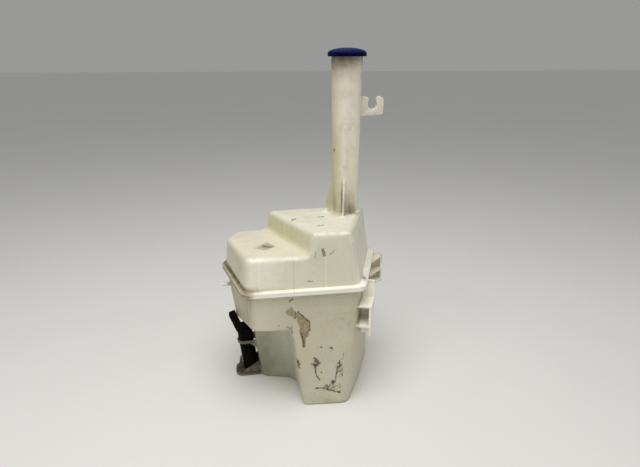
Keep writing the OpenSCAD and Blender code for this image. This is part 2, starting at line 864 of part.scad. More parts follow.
// Middle line of the electrical connector, and its frame
plug_x = -9;
module at_plug() {
    translate([plug_x, 0, pump_len])
        rotate([0, -plug_lean, 0])
            children();
}
plug_wall = 1.5;
plug_depth = 14;
blade_t = 0.8;
blade_w = 2.4;
blade_y = 3;
blade_end = 3;
blade_x = plug_x + roof * tan(plug_lean);

// Side view of a terminal blade: upright in the motor, then along the connector; grown by gap
module blade_side(gap) {
    half = blade_w / 2 + gap;
    bend = [blade_x, cavity_u];
    reach = plug_len - blade_end;
    tip = [plug_x - reach * sin(plug_lean), pump_len + reach * cos(plug_lean)];
    polygon([
        [bend[0] - half, plate_u - gap], [bend[0] + half, plate_u - gap],
        bend + [half, 0], tip + [half, 0], tip - [half, 0], bend - [half, 0]]);
}
module blade(y, gap) {
    translate([0, y + blade_t / 2 + gap, 0])
        rotate([90, 0, 0])
            linear_extrude(blade_t + 2 * gap)
                blade_side(gap);
}

// Motor housing with a sloping top and the connector's shroud
module pump_housing() {
    color(pump_color)
        at_pump()
            difference() {
                union() {
                    difference() {
                        translate([0, 0, body_u]) cylinder(h = pump_len - body_u, r = pump_r);
                        translate([0, -pump_r - weld, pump_len])
                            rotate([0, roof_slope, 0])
                                cube([3 * pump_r, 2 * (pump_r + weld), pump_r]);
                    }
                    at_plug()
                        translate([-plug_d / 2, -plug_w / 2, -roof + weld])
                            cube([plug_d, plug_w, plug_len + roof - weld]);
                }
                translate([0, 0, body_u - weld]) cylinder(h = cavity_u - body_u + weld, r = bore_r);
                at_plug()
                    translate([-plug_d / 2 + plug_wall, -plug_w / 2 + plug_wall, plug_len - plug_depth])
                        cube([plug_d - 2 * plug_wall, plug_w - 2 * plug_wall, plug_depth + weld]);
                blade(-blade_y, fit_gap);
                blade(blade_y, fit_gap);
            }
}
roof_slope = 18;

// Impeller casing with the seal's seat, the housing's spigot and the outlet nipple
module pump_body() {
    nipple = pump_r - chamber_r + outlet_len - weld;
    lead = outlet_r / 4;
    color(pump_color)
        at_pump()
            difference() {
                union() {
                    translate([0, 0, cover_u]) cylinder(h = body_u - cover_u, r = pump_r);
                    tube(bore_r - fit_gap, bore_r - fit_gap - pump_wall, body_u - weld, spigot_u);
                    translate([0, chamber_r + weld, outlet_u])
                        rotate([-90, 0, 0]) {
                            cylinder(h = nipple - outlet_len + outlet_stop, r = outlet_stop_r);
                            cylinder(h = nipple - lead, r = outlet_r);
                            translate([0, 0, nipple - lead])
                                cylinder(h = lead, r1 = outlet_r, r2 = outlet_r - lead);
                        }
                }
                translate([0, 0, cover_u - weld]) cylinder(h = partition_u - cover_u + weld, r = chamber_r);
                cylinder(h = spigot_u, r = seal_r + fit_gap);
                translate([0, 0, outlet_u])
                    rotate([-90, 0, 0])
                        cylinder(h = pump_r + outlet_len + weld, r = outlet_bore_r);
            }
}

// Bottom cup with the inlet spigot and the seal's groove
groove_r = (chamber_r + pump_r) / 2;
groove_half = 0.7;
module pump_cover() {
    floor_t = 2.5;
    color(pump_color)
        at_pump()
            difference() {
                union() {
                    cylinder(h = cover_u, r = pump_r);
                    at_inlet(chamber_r + weld)
                        cylinder(h = spigot_end - chamber_r - weld, r = inlet_r);
                }
                translate([0, 0, floor_t]) cylinder(h = cover_u, r = chamber_r);
                at_inlet(0)
                    cylinder(h = spigot_end + weld, r = inlet_bore_r);
                tube(groove_r + groove_half, groove_r - groove_half,
                     cover_u - 2 * groove_half, cover_u + weld);
            }
}
lip_t = 2.4;
spigot_over = 5;
spigot_end = wall_in + lip_t + spigot_over;

module cover_seal() {
    r = groove_half - fit_gap / 2;
    color(rubber_color)
        at_pump()
            translate([0, 0, cover_u - groove_half])
                rotate_extrude()
                    translate([groove_r, 0]) circle(r, $fn = 20);
}

// Rubber bush in the tank wall round the inlet
module inlet_grommet() {
    bore = inlet_r + fit_gap;
    neck = grommet_hole_r - fit_gap;
    lip = grommet_hole_r + lip_t;
    inside = wall_in - wall_x + fit_gap;
    color(rubber_color)
        at_pump()
            at_inlet(wall_x)
                rotate_extrude()
                    polygon([
                        [bore, -lip_t], [lip, -lip_t], [lip, -fit_gap], [neck, -fit_gap],
                        [neck, inside], [lip - lip_t / 2, inside], [neck - weld, inside + lip_t],
                        [bore, inside + lip_t]]);
}

// Slotted thimble on the spigot's end inside the tank
module inlet_strainer() {
    bore = inlet_r + fit_gap;
    skin = 1.1;
    low = wall_in + lip_t + 6 * fit_gap;
    window = 6;
    high = spigot_end + window + 3 * weld;
    color(nylon_color)
        at_pump()
            at_inlet(0)
                difference() {
                    translate([0, 0, low]) cylinder(h = high - low, r = bore + skin);
                    translate([0, 0, low - weld]) cylinder(h = high - low, r = bore);
                    for (turn = [0 : 45 : 135])
                        rotate(turn)
                            translate([-inlet_r * 2, -skin, spigot_end + weld / 2])
                                cube([inlet_r * 4, 2 * skin, window]);
                }
}

// Drawn steel can round the motor
module motor_can() {
    color(steel_color)
        at_pump()
            difference() {
                translate([0, 0, can_u]) cylinder(h = can_top_u - can_u, r = can_r);
                translate([0, 0, can_u + can_wall]) cylinder(h = can_top_u, r = can_r - can_wall);
                cylinder(h = core_u, r = bearing_r + fit_gap);
            }
}

module magnet(turn) {
    span = 130;
    over = 2;
    low = core_u - over;
    color(magnet_color)
        at_pump()
            translate([0, 0, low])
                rotate(turn - span / 2)
                    rotate_extrude(angle = span)
                        translate([magnet_r - magnet_t, 0])
                            square([magnet_t, core_top_u + over - low]);
}
module magnet_front() {
    magnet(-90);
}
module magnet_rear() {
    magnet(90);
}

module lower_bearing() {
    color(steel_color)
        at_pump()
            tube(bearing_r, shaft_r + shaft_gap, can_u, can_u + bearing_len);
}
module upper_bearing() {
    color(steel_color)
        at_pump()
            tube(bearing_r, shaft_r + shaft_gap, plate_u + weld + fit_gap, plate_u + bearing_len);
}
module shaft_seal() {
    color(rubber_color)
        at_pump()
            tube(seal_r, shaft_r + fit_gap, partition_u + fit_gap, body_u - fit_gap);
}

module motor_shaft() {
    color(steel_color)
        at_pump()
            translate([0, 0, cover_u - weld]) cylinder(h = shaft_top_u - cover_u + weld, r = shaft_r);
}

// Laminated core with five winding slots
slots = 5;
slot_r = 1.6;
slot_depth = 2.4;
slot_at = core_r - slot_depth;
module armature_core() {
    color(steel_color)
        at_pump()
            difference() {
                tube(core_r, hub_r, core_u, core_top_u);
                for (i = [0 : slots - 1])
                    rotate(i * 360 / slots)
                        translate([slot_at, 0, core_u - weld]) {
                            cylinder(h = core_top_u - core_u + 2 * weld, r = slot_r);
                            translate([0, -slot_r / 3, 0])
                                cube([core_r, slot_r * 2 / 3, core_top_u - core_u + 2 * weld]);
                        }
            }
}

// Coils through the slots, joined by rings over both ends of the core
module armature_windings() {
    coil_r = slot_r - fit_gap;
    ring_r = slot_at + coil_r + 3 * fit_gap;
    end_h = 2;
    color(copper_color)
        at_pump() {
            tube(ring_r, hub_r + weld, core_u - end_h, core_u - fit_gap);
            tube(ring_r, hub_r + weld, core_top_u + fit_gap, core_top_u + end_h);
            for (i = [0 : slots - 1])
                rotate(i * 360 / slots)
                    translate([slot_at, 0, core_u - end_h / 2])
                        cylinder(h = core_top_u - core_u + end_h, r = coil_r);
        }
}

module commutator() {
    color(copper_color)
        at_pump()
            tube(commutator_r, hub_r, commutator_u, plate_u - fit_gap - weld / 2);
}

// Disc with six bent blades under it
module impeller() {
    vanes = 6;
    vane_t = 0.9;
    low = cover_u + 2 * rotor_gap;
    disc = partition_u - 2 * rotor_gap;
    hub_t = 1.2;
    bend = impeller_r / 2 - vane_t / 2;
    color(nylon_color)
        at_pump() {
            tube(impeller_r, hub_r, disc - weld, disc);
            tube(hub_r + hub_t, hub_r, low, disc);
            for (i = [0 : vanes - 1])
                rotate(i * 360 / vanes)
                    translate([bend, 0, low])
                        difference() {
                            cylinder(h = disc - low - weld / 2, r = bend);
                            translate([0, 0, -weld]) cylinder(h = disc, r = bend - vane_t);
                            translate([-impeller_r, -2 * impeller_r, -weld])
                                cube([2 * impeller_r, 2 * impeller_r, disc]);
                            translate([-bend - weld, -weld, -weld])
                                cube([hub_r + hub_t / 2 + weld, impeller_r, disc]);
                        }
        }
}

// Brush holder over the can's open end, with a bearing seat and two brush guides
brush_w = 3.6;
brush_h = 3.8;
brush_u = plate_u - weld - brush_h;
brush_len = 3.4;
brush_gap = 0.2;
guide_t = 0.9;
brush_end = commutator_r + brush_gap + brush_len;
guide_gap = 0.6;
guide_end = magnet_r - guide_gap;
module brush_plate() {
    color(nylon_color)
        at_pump()
            difference() {
                union() {
                    translate([0, 0, plate_u]) cylinder(h = plate_t, r = magnet_r);
                    translate([0, 0, plate_u]) cylinder(h = 2 * plate_t, r = bearing_r + guide_t);
                    for (turn = [0, 180])
                        rotate(turn)
                            translate([commutator_r + weld, -brush_w / 2 - guide_t, brush_u - guide_t])
                                cube([guide_end - commutator_r - weld, brush_w + 2 * guide_t,
                                      plate_u - brush_u + guide_t + weld]);
                }
                for (turn = [0, 180])
                    rotate(turn)
                        translate([0, -brush_w / 2 - fit_gap, brush_u - fit_gap])
                            cube([guide_end - guide_t, brush_w + 2 * fit_gap, brush_h + 2 * fit_gap]);
                translate([0, 0, plate_u - weld]) cylinder(h = 3 * plate_t, r = shaft_r + rotor_gap);
                translate([0, 0, plate_u + weld]) cylinder(h = 2 * plate_t, r = bearing_r + fit_gap);
                blade(-blade_y, fit_gap);
                blade(blade_y, fit_gap);
            }
}

module brush(turn) {
    color(magnet_color)
        at_pump()
            rotate(turn)
                translate([commutator_r + brush_gap, -brush_w / 2, brush_u])
                    cube([brush_len, brush_w, brush_h]);
}
module brush_left() {
    brush(180);
}
module brush_right() {
    brush(0);
}

// Bowed leaf pressing a brush to the commutator
module spring(turn) {
    leaf_t = 0.3;
    from = brush_end + fit_gap;
    to = guide_end - guide_t - fit_gap;
    half = brush_w / 2 - fit_gap;
    bow = (pow(half, 2) + pow(to - from, 2)) / (2 * (to - from));
    color(steel_color)
        at_pump()
            rotate(turn)
                translate([0, 0, brush_u + brush_h / 4])
                    linear_extrude(brush_h / 2)
                        intersection() {
                            translate([to - bow, 0])
                                difference() {
                                    circle(bow);
                                    circle(bow - leaf_t);
                                }
                            translate([from, -half]) square([to - from, 2 * half]);
                        }
}
module spring_left() {
    spring(180);
}
module spring_right() {
    spring(0);
}

module terminal_front() {
    color(copper_color)
        at_pump()
            blade(-blade_y, 0);
}
module terminal_rear() {
    color(copper_color)
        at_pump()
            blade(blade_y, 0);
}

upper_shell();
lower_shell();
filler_cap();
pump_housing();
pump_body();
pump_cover();
cover_seal();
inlet_grommet();
inlet_strainer();
motor_can();
magnet_front();
magnet_rear();
lower_bearing();
upper_bearing();
shaft_seal();
motor_shaft();
armature_core();
armature_windings();
commutator();
impeller();
brush_plate();
brush_left();
brush_right();
spring_left();
spring_right();
terminal_front();
terminal_rear();
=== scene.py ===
import math
from functools import reduce
from types import SimpleNamespace

import bpy
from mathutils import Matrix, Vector


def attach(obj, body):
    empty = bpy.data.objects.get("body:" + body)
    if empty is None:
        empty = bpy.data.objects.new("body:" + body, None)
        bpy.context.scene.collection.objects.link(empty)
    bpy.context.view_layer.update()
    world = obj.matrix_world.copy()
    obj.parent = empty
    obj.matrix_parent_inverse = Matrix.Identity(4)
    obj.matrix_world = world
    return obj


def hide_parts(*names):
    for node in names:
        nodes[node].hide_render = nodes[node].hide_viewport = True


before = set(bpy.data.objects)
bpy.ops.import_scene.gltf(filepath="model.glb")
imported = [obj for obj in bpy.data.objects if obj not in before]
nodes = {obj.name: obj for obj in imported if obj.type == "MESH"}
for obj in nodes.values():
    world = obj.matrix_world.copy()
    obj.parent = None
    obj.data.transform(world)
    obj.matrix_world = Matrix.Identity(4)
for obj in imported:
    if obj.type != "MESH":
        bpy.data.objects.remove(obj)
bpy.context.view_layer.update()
mm = 0.001
print("frame loaded:", len(nodes), "nodes")


# shader maths


class Field:  # a socket that takes part in sums
    def __init__(self, tree, socket):
        self.tree = tree
        self.socket = socket

    def node(self, kind, settings=None, links=None, out=0):
        made = self.tree.nodes.new(kind)
        for key, value in (settings or {}).items():
            setattr(made, key, value)
        for key, value in (links or {}).items():
            if isinstance(value, Field):
                self.tree.links.new(value.socket, made.inputs[key])
            else:
                made.inputs[key].default_value = value
        return Field(self.tree, made.outputs[out])

    def math(self, operation, a, b):
        return self.node("ShaderNodeMath", {"operation": operation}, {0: a, 1: b})

    def __add__(self, other):
        return self.math("ADD", self, other)

    def __radd__(self, other):
        return self.math("ADD", other, self)

    def __sub__(self, other):
        return self.math("SUBTRACT", self, other)

    def __rsub__(self, other):
        return self.math("SUBTRACT", other, self)

    def __mul__(self, other):
        return self.math("MULTIPLY", self, other)

    def __rmul__(self, other):
        return self.math("MULTIPLY", other, self)

    def __truediv__(self, other):
        return self.math("DIVIDE", self, other)

    def __rtruediv__(self, other):
        return self.math("DIVIDE", other, self)


def fade(value, start, end):  # 0 at start, 1 at end, smooth between
    return value.node("ShaderNodeMapRange", {"interpolation_type": "SMOOTHSTEP"},
                      {"Value": value, "From Min": start, "From Max": end})


def band(value, low, high):  # 1 between two soft edges
    return fade(value, *low) * fade(value, *high)


def near(value, middle, reach, core):  # 1 within core of the middle, 0 past reach
    return fade(value.math("ABSOLUTE", value - middle, 0), reach, core)


def most(a, b):
    return a.math("MAXIMUM", a, b)


def least(a, b):
    return a.math("MINIMUM", a, b)


def noise(place, scale, detail=3.0, rough=0.55):
    return place.node("ShaderNodeTexNoise", {},
                      {"Vector": place, "Scale": scale, "Detail": detail, "Roughness": rough})


def vector(place, operation, a, b):
    return place.node("ShaderNodeVectorMath", {"operation": operation}, {0: a, 1: b})


def flatten(place, keep):
    return vector(place, "MULTIPLY", place, keep)


def axes(place):  # x, y and z in mm
    return [place.node("ShaderNodeSeparateXYZ", {}, {0: place}, out=i) / mm for i in range(3)]


def ripple(place, scale, size):  # the place shaken by up to half of size, in mm, for ragged marks
    shake = place.node("ShaderNodeTexNoise", {}, {"Vector": place, "Scale": scale, "Detail": 4.0}, out=1)
    centred = vector(place, "SUBTRACT", shake, (0.5, 0.5, 0.5))
    return vector(place, "ADD", place, flatten(centred, [size * mm] * 3))


def onFront(place, shakes=()):  # the place as seen from the front, shaken first
    for scale, size in shakes:
        place = ripple(place, scale, size)
    return flatten(place, (1, 0, 1))


def lengthOf(field):
    return field.node("ShaderNodeVectorMath", {"operation": "LENGTH"}, {0: field}, out=1)


def along(place, way):  # distance along a direction
    return place.node("ShaderNodeVectorMath", {"operation": "DOT_PRODUCT"}, {0: place, 1: way[:]}, out=1)


def blot(place, centre, radii, core):  # soft ellipsoid mark, sizes in mm
    shift = vector(place, "SUBTRACT", place, [c * mm for c in centre])
    return fade(lengthOf(flatten(shift, [1 / (r * mm) for r in radii])), 1.0, core)


def streak(place, start, end, width, core):  # soft line between two places, in mm
    way = (Vector(end) - Vector(start)) * mm
    rise = vector(place, "SUBTRACT", place, (Vector(start) * mm)[:])
    held = place.node("ShaderNodeClamp", {}, {"Value": along(rise, way / way.length_squared)})
    foot = place.node("ShaderNodeVectorMath", {"operation": "SCALE"}, {0: way[:], "Scale": held})
    return fade(lengthOf(vector(place, "SUBTRACT", rise, foot)), width * mm, width * core * mm)


def patch(place, corners):  # depth inside a convex outline along its flat axis, corners clockwise, in mm
    sides = []
    for start, end in zip(corners, corners[1:] + corners[:1]):
        way = Vector(end) - Vector(start)
        inward = Vector((way.z, 0, -way.x)) if way.y == 0 else Vector((way.y, -way.x, 0))
        inward.normalize()
        sides.append(along(place, inward) / mm - inward.dot(Vector(start)))
    return reduce(least, sides)


def blend(base, tint, mask):
    full = [value if isinstance(value, Field) else (*value, 1.0) for value in (base, tint)]
    return mask.node("ShaderNodeMix", {"data_type": "RGBA"}, {0: mask, 6: full[0], 7: full[1]}, out=2)


def newMaterial(name):
    material = bpy.data.materials.new(name)
    material.use_nodes = True
    tree = material.node_tree
    place = Field(tree, None).node("ShaderNodeTexCoord", out=3)
    return material, tree.nodes["Principled BSDF"], place


def plug(field, surface, socket):
    field.tree.links.new(field.socket, surface.inputs[socket])


def roughen(place, surface, height, strength, distance):
    bump = place.node("ShaderNodeBump", {},
                      {"Height": height, "Strength": strength, "Distance": distance * mm})
    plug(bump, surface, "Normal")


# tank shells: a base tone, then coats of dirt and wear, and of painted light and painted shade, laid one
# over the other
# a pair of lengths is where a mask is 0 and where it is 1, in mm: left and right along x,
# front and back along y, low, high and top along z

seam = max(corner[2] for corner in nodes["lower_shell"].bound_box) / mm  # height of the weld

tankTones = {
    "upper": (0.755, 0.715, 0.58),
    "lower": (0.625, 0.584, 0.444),
    "neck": (0.775, 0.72, 0.585),
    "cool": (0.66, 0.67, 0.53),
    "rim": (0.96, 0.935, 0.82),
    "deck": (0.765, 0.755, 0.645),
    "haze": (0.845, 0.80, 0.735),
    "yellow": (0.62, 0.585, 0.33),
    "olive": (0.43, 0.38, 0.215),
    "tan": (0.40, 0.31, 0.175),
    "grime": (0.10, 0.075, 0.04),
    "black": (0.020, 0.016, 0.010),
    "shade": (0.20, 0.198, 0.125),
    "tray": (0.050, 0.041, 0.027),
}

# scale, detail and roughness of each noise
tankGrain = {
    "cloud": (10.0, 4.0, 0.55),
    "blotch": (46.0, 5.0, 0.66),
    "fine": (210.0, 4.0, 0.6),
    "spots": (0.4, 0.62),  # values of blotch between which spots appear
}


def survey(place, plan):  # what the coats of both shells ask about a place
    x, y, z = axes(place)
    at = SimpleNamespace(place=place, x=x, y=y, z=z)
    at.front = fade(y, *plan["front"])
    at.left = fade(x, *plan["left"])
    at.right = fade(x, *plan["right"])
    at.cloud = noise(place, *tankGrain["cloud"])
    at.blotch = noise(place, *tankGrain["blotch"])
    at.fine = noise(place, *tankGrain["fine"])
    at.spots = fade(at.blotch, *tankGrain["spots"])
    at.patchy = 0.45 + at.spots * 0.55
    return at


def layer(colour, coats):  # each coat is a tone, the mask of its place and its strength there
    for tone, mask, strength in coats:
        colour = blend(colour, tankTones[tone], mask * strength)
    return colour


def blots(tone, place, marks, core, share=1.0):  # one coat for each centre, radii and strength
    return [(tone, blot(place, centre, radii, core) * share, strength) for centre, radii, strength in marks]


fleckPlan = {"grain": 2.6, "solid": (0.34, 0.56), "faint": (0.0, 0.3), "spread": 1.4}
dripPlan = {"stretch": 14, "edge": (0.48, 0.72)}


def flakes(field, grain):  # a soft mark broken into solid flecks
    broken = field + (grain - 0.5) * fleckPlan["grain"]
    return fade(broken, *fleckPlan["solid"]) * fade(field, *fleckPlan["faint"])


def scuffLine(place, start, end, width):  # wider than it looks, because flakes eat its edge
    return streak(place, start, end, width * fleckPlan["spread"], 0.0)


def drips(place, density):  # upright runs of dirt
    runs = flatten(place, (density, density, density / dripPlan["stretch"]))
    return fade(noise(runs, 1.0, 4.0), *dripPlan["edge"])


def agedCoats(at):  # uneven yellowing all over
    return [
        ("cool", fade(at.cloud, 0.40, 0.64), 0.55),
        ("yellow", fade(at.blotch, 0.42, 0.72), 0.22),
        ("olive", fade(at.fine, 0.46, 0.80) * fade(at.blotch, 0.36, 0.62), 0.42),
    ]


def rimCoats(at, rim, plan):  # pale weld flange, dirty along the left side and more so at its back
    backwards = fade(at.y, *plan["dirtBack"])
    return [
        ("rim", rim * (1 - at.left), 0.95),
        ("olive", rim * at.left, plan["olive"] + at.fine * plan["oliveSpeckle"]),
        ("grime", rim * at.left * at.patchy, plan["grime"] + backwards * plan["grimeBack"]),
    ]


# upper shell

upperPlan = {
    "front": (-36, -44),
    "left": (-78, -94),
    "right": (72, 84),
    "stemLow": (276, 282),
    "creviceLow": (seam + 3.4, seam + 4.2),
    "creviceTop": (seam + 11, seam + 4.6),
    "shake": (260.0, 3.0),  # scale and size
    "grit": (420.0, 6.0, 0.7),
}


def upperSurvey(place):
    at = survey(place, upperPlan)
    at.stem = fade(at.z, *upperPlan["stemLow"])
    at.crevice = band(at.z, upperPlan["creviceLow"], upperPlan["creviceTop"])
    at.shaken = ripple(place, *upperPlan["shake"])
    at.grit = noise(place, *upperPlan["grit"])
    at.wear = at.crevice
    return at


deckPlan = {"low": (268, 272), "high": (282, 276), "neckLow": (276, 300), "filmGrain": (34.0, 90.0, 34.0)}


def deckCoats(at):  # thin dusty coat on the tall block's top
    deck = band(at.z, deckPlan["low"], deckPlan["high"])
    filmAndSheen = deck * fade(noise(flatten(at.place, deckPlan["filmGrain"]), 1.0, 6.0, 0.68), 0.44, 0.66)
    return [
        ("neck", fade(at.z, *deckPlan["neckLow"]), 0.8),
        ("deck", deck, 0.6),
        ("cool", filmAndSheen, 0.55),
        ("grime", filmAndSheen * fade(at.fine, 0.42, 0.66), 0.10),
    ]


wallPlan = {
    "coolRight": (-30, 20),
    "oliveRight": (-70, -10),
    "paleLeft": (-30, -64),
    "stepLow": (238, 247),
    "stepHigh": (271, 262),
    "stepRight": (18, 2),
    "stepFront": (-44, -34),
    "darkRight": (-34, 0),
    "stepDrips": 110.0,
    "darkDrips": 160.0,
    "wallLeft": (-82, -92),
    "wallTop": (240, 226),
}


def wallCoats(at):  # front wall, slanting step, and the left wall painted darker as painted shade
    stepHeight = band(at.z, wallPlan["stepLow"], wallPlan["stepHigh"])
    step = stepHeight * fade(at.x, *wallPlan["stepRight"]) * fade(at.y, *wallPlan["stepFront"])
    leftWall = fade(at.x, *wallPlan["wallLeft"]) * fade(at.z, *wallPlan["wallTop"])
    return [
        ("cool", at.front * fade(at.x, *wallPlan["coolRight"]), 0.5),
        ("olive", at.front * fade(at.x, *wallPlan["oliveRight"]), 0.1),
        ("rim", at.front * fade(at.x, *wallPlan["paleLeft"]), 0.3),
        ("yellow", step, 0.5 + drips(at.place, wallPlan["stepDrips"]) * 0.45),
        ("olive", step * fade(at.x, *wallPlan["darkRight"]), drips(at.place, wallPlan["darkDrips"]) * 0.35),
        # painted shade: the left-facing wall made darker, with uneven blotches
        ("olive", leftWall, 0.24 + fade(at.blotch, 0.42, 0.64) * 0.2),
    ]


upperFlange = {
    "rimTop": (seam + 5.5, seam + 4.0),
    "dirtBack": (-30, 50),
    "olive": 0.6,
    "oliveSpeckle": 0.5,
    "grime": 0.14,
    "grimeBack": 0.5,
    "leftWay": Vector((-0.970, -0.2425, 0)),  # square to the left wall at the seam
    "lip": (106.4, 107.6),  # along leftWay
    "root": (106.2, 104.4),
    "weldTop": (seam + 1.0, seam),
    "dirtLeft": (-10, -60),
    "cornerTan": ((-84, -52, 195), (21, 16, 8)),  # centre and radii
}


def upperFlangeCoats(at):
    rim = fade(at.z, *upperFlange["rimTop"])
    out = along(at.place, upperFlange["leftWay"]) / mm
    line = most(at.crevice * fade(out, *upperFlange["root"]), fade(at.z, *upperFlange["weldTop"]) * 0.7)
    return rimCoats(at, rim, upperFlange) + [
        ("rim", rim * at.left * fade(out, *upperFlange["lip"]), 0.2),
        ("grime", at.crevice * at.patchy, fade(at.x, *upperFlange["dirtLeft"]) * 0.3 + at.right * 0.45),
        ("grime", line * at.left, 0.62 + fade(at.blotch, 0.36, 0.6) * 0.33),
        ("tan", blot(at.place, *upperFlange["cornerTan"], 0.1) * at.patchy, 0.85),
    ]


stainPlan = {
    "outline": [(-76, -4, 0), (-57, 17, 0), (-47, 1, 0), (-63, -12, 0)],
    "edge": (-4, 2.5),  # depth inside the outline
    "low": (236, 239),
    "high": (246, 242),
    "darkRight": (-74, -58),
    "shake": (70.0, 9.0),
    "grainTurn": 0.5,
    "grain": (60.0, 330.0, 60.0),
}


def stainCoats(at):  # four-cornered stain on the low block's top, with a slanting grain
    depth = patch(ripple(at.place, *stainPlan["shake"]), stainPlan["outline"])
    stain = fade(depth, *stainPlan["edge"]) * band(at.z, stainPlan["low"], stainPlan["high"])
    slant = at.place.node("ShaderNodeVectorRotate", {"rotation_type": "Z_AXIS"},
                          {"Vector": at.place, "Angle": stainPlan["grainTurn"]})
    grain = fade(noise(flatten(slant, stainPlan["grain"]), 1.0, 4.0), 0.40, 0.62)
    return [
        ("olive", stain, 0.45 + grain * 0.4),
        ("grime", stain * fade(at.x, *stainPlan["darkRight"]), (0.2 + grain * 0.8) * 0.72),
    ]


# both ends, width and strength
upperScuffs = {
    "deck": [((-19, 20, 273), (-13, 23, 273), 2.4, 0.85), ((22, 27, 273), (30, 28.5, 273), 2.0, 0.85),
             ((15, -14, 273), (23, -12, 273), 2.0, 0.85)],
    "front": [((16.2, 0, 250), (18.4, 0, 241.4), 2.6, 0.62), ((27, 0, 242), (33, 0, 248), 1.2, 0.5),
              ((-5.5, 0, 204.2), (1.5, 0, 204.6), 1.4, 0.5), ((6.4, 0, 246), (5.4, 0, 238), 0.9, 0.36),
              ((57, 0, 266), (58, 0, 261), 1.0, 0.4), ((59, 0, 256), (59.6, 0, 253), 0.9, 0.4)],
}


def upperScuffCoats(at):
    flat = onFront(at.shaken)
    coats = []
    for start, end, width, strength in upperScuffs["deck"]:
        coats.append(("grime", flakes(scuffLine(at.shaken, start, end, width), at.grit), strength))
    for start, end, width, strength in upperScuffs["front"]:
        coats.append(("black", flakes(scuffLine(flat, start, end, width), at.grit) * at.front, strength))
    return coats


linePlan = {
    "highlightEdges": [(237.8, 2, -8), (270.4, -4, 4)],  # height, then x where it fades out and in
    "wornFront": (-40, -43),
    "highlightWidth": (2.6, 0.6),  # distance from the line, as the other widths
    "wallTop": (242, 234),
    "mouldLine": -25,
    "mouldWidth": (1.0, 0.2),
    "paleLines": (-72.5, 20.5),
    "paleWidth": (1.9, 0.4),
}


def lineCoats(at):  # painted highlights along the rounded upper front edges, and upright lines of the mould on the front wall
    frontEdge = fade(at.y, *linePlan["wornFront"])
    wall = at.front * fade(at.z, *linePlan["wallTop"])
    coats = []
    # painted highlight: broken pale lines along the front edges of both tops
    for height, bare, full in linePlan["highlightEdges"]:
        edge = near(at.z, height, *linePlan["highlightWidth"]) * fade(at.x, bare, full) * frontEdge
        coats.append(("rim", edge, (at.patchy * 1.5 - 0.6) * 0.85))
    coats.append(("olive", near(at.x, linePlan["mouldLine"], *linePlan["mouldWidth"]) * wall, 0.4))
    for lineX in linePlan["paleLines"]:
        coats.append(("rim", near(at.x, lineX, *linePlan["paleWidth"]) * wall * at.patchy, 0.26))
    return coats


rightPlan = {
    "way": Vector((0.949, -0.314, 0.15)),  # square to the leaning right wall
    "corner": (103.5, 107.5),  # along way
    "cornerTop": (271, 264),
    "wall": (108.5, 110.5),
    "wallTop": (270, 262),
    "specksHigh": (215, 255),
    "drips": 130.0,
}


def rightCoats(at):
    reach = along(at.place, rightPlan["way"]) / mm
    corner = fade(reach, *rightPlan["corner"]) * at.front * fade(at.z, *rightPlan["cornerTop"])
    wall = fade(reach, *rightPlan["wall"]) * fade(at.z, *rightPlan["wallTop"])
    specks = fade(noise(at.place, 340.0, 3.0), 0.56, 0.68) * fade(at.z, *rightPlan["specksHigh"])
    return [
        # painted highlight: a pale strip on the rounded front-right corner; painted light: the right wall
        # made paler, with runs and specks of dirt on it
        ("rim", corner * at.patchy, 0.5),
        ("rim", wall, 0.5),
        ("olive", wall * drips(at.place, rightPlan["drips"]), 0.22),
        ("grime", wall * specks, 0.4),
    ]


stemPlan = {
    "drips": 90.0,
    "paleRuns": (70, 70, 14),  # grain along x, y and z
    "paleRight": (68, 84),
    "yellowLeft": (65, 51),
    "yellowTop": (450, 390),
    "upperHigh": (360, 420),
    "hazeRight": (66, 86),
    "oliveLeft": (60, 49),
    "hookRight": (87.5, 90),
    "hookRootLeft": (106, 95),
}


def stemCoats(at):  # filler neck and its hose hook
    mottle = fade(noise(at.place, 130.0, 6.0, 0.7), 0.42, 0.62)
    paleRuns = fade(noise(flatten(at.place, stemPlan["paleRuns"]), 1.0, 4.0), 0.5, 0.66)
    yellow = fade(at.x, *stemPlan["yellowLeft"]) * fade(at.z, *stemPlan["yellowTop"])
    upper = fade(at.z, *stemPlan["upperHigh"])
    hook = at.stem * fade(at.x, *stemPlan["hookRight"])
    return [
        ("olive", at.stem * drips(at.place, stemPlan["drips"]), 0.26),
        ("tan", at.stem * fade(at.blotch, 0.46, 0.7), 0.2),
        ("rim", at.stem, paleRuns * 0.3 + fade(at.x, *stemPlan["paleRight"]) * 0.55),
        ("yellow", at.stem * yellow, 0.46),
        ("haze", upper, 0.35 + fade(at.x, *stemPlan["hazeRight"]) * 0.4 + mottle * 0.2),
        ("tan", at.stem * fade(at.blotch, 0.40, 0.66) * (1 - mottle), 0.2),
        ("olive", at.stem * fade(at.x, *stemPlan["oliveLeft"]), 0.12 + upper * 0.16),
        ("olive", hook, 0.17 + fade(at.x, *stemPlan["hookRootLeft"]) * 0.12 + mottle * 0.2),
    ]


neckTop = {
    "yellowSide": ((48, 46, 360), (12, 22, 62)),  # centre and radii
    "smudge": ((63, 36, 503), (19, 16, 27)),
    "oliveTop": (400, 500),
    "capShadowAndDirtTop": (458, 500),
    "cleanRight": (68, 84),
}


def neckTopCoats(at):  # below the cap: darker towards the cap, partly dirt and partly painted shadow of the cap
    capShadowAndDirt = fade(at.z, *neckTop["capShadowAndDirtTop"]) * (1 - fade(at.x, *neckTop["cleanRight"]) * 0.55)
    return [
        ("yellow", blot(at.place, *neckTop["yellowSide"], 0.1), 0.5),
        # dirt and painted shadow of the cap, growing towards it
        ("olive", fade(at.z, *neckTop["oliveTop"]), 0.25),
        ("grime", capShadowAndDirt, 0.36 + at.spots * 0.3),
        ("grime", blot(at.shaken, *neckTop["smudge"], 0.1), 0.45),
    ]


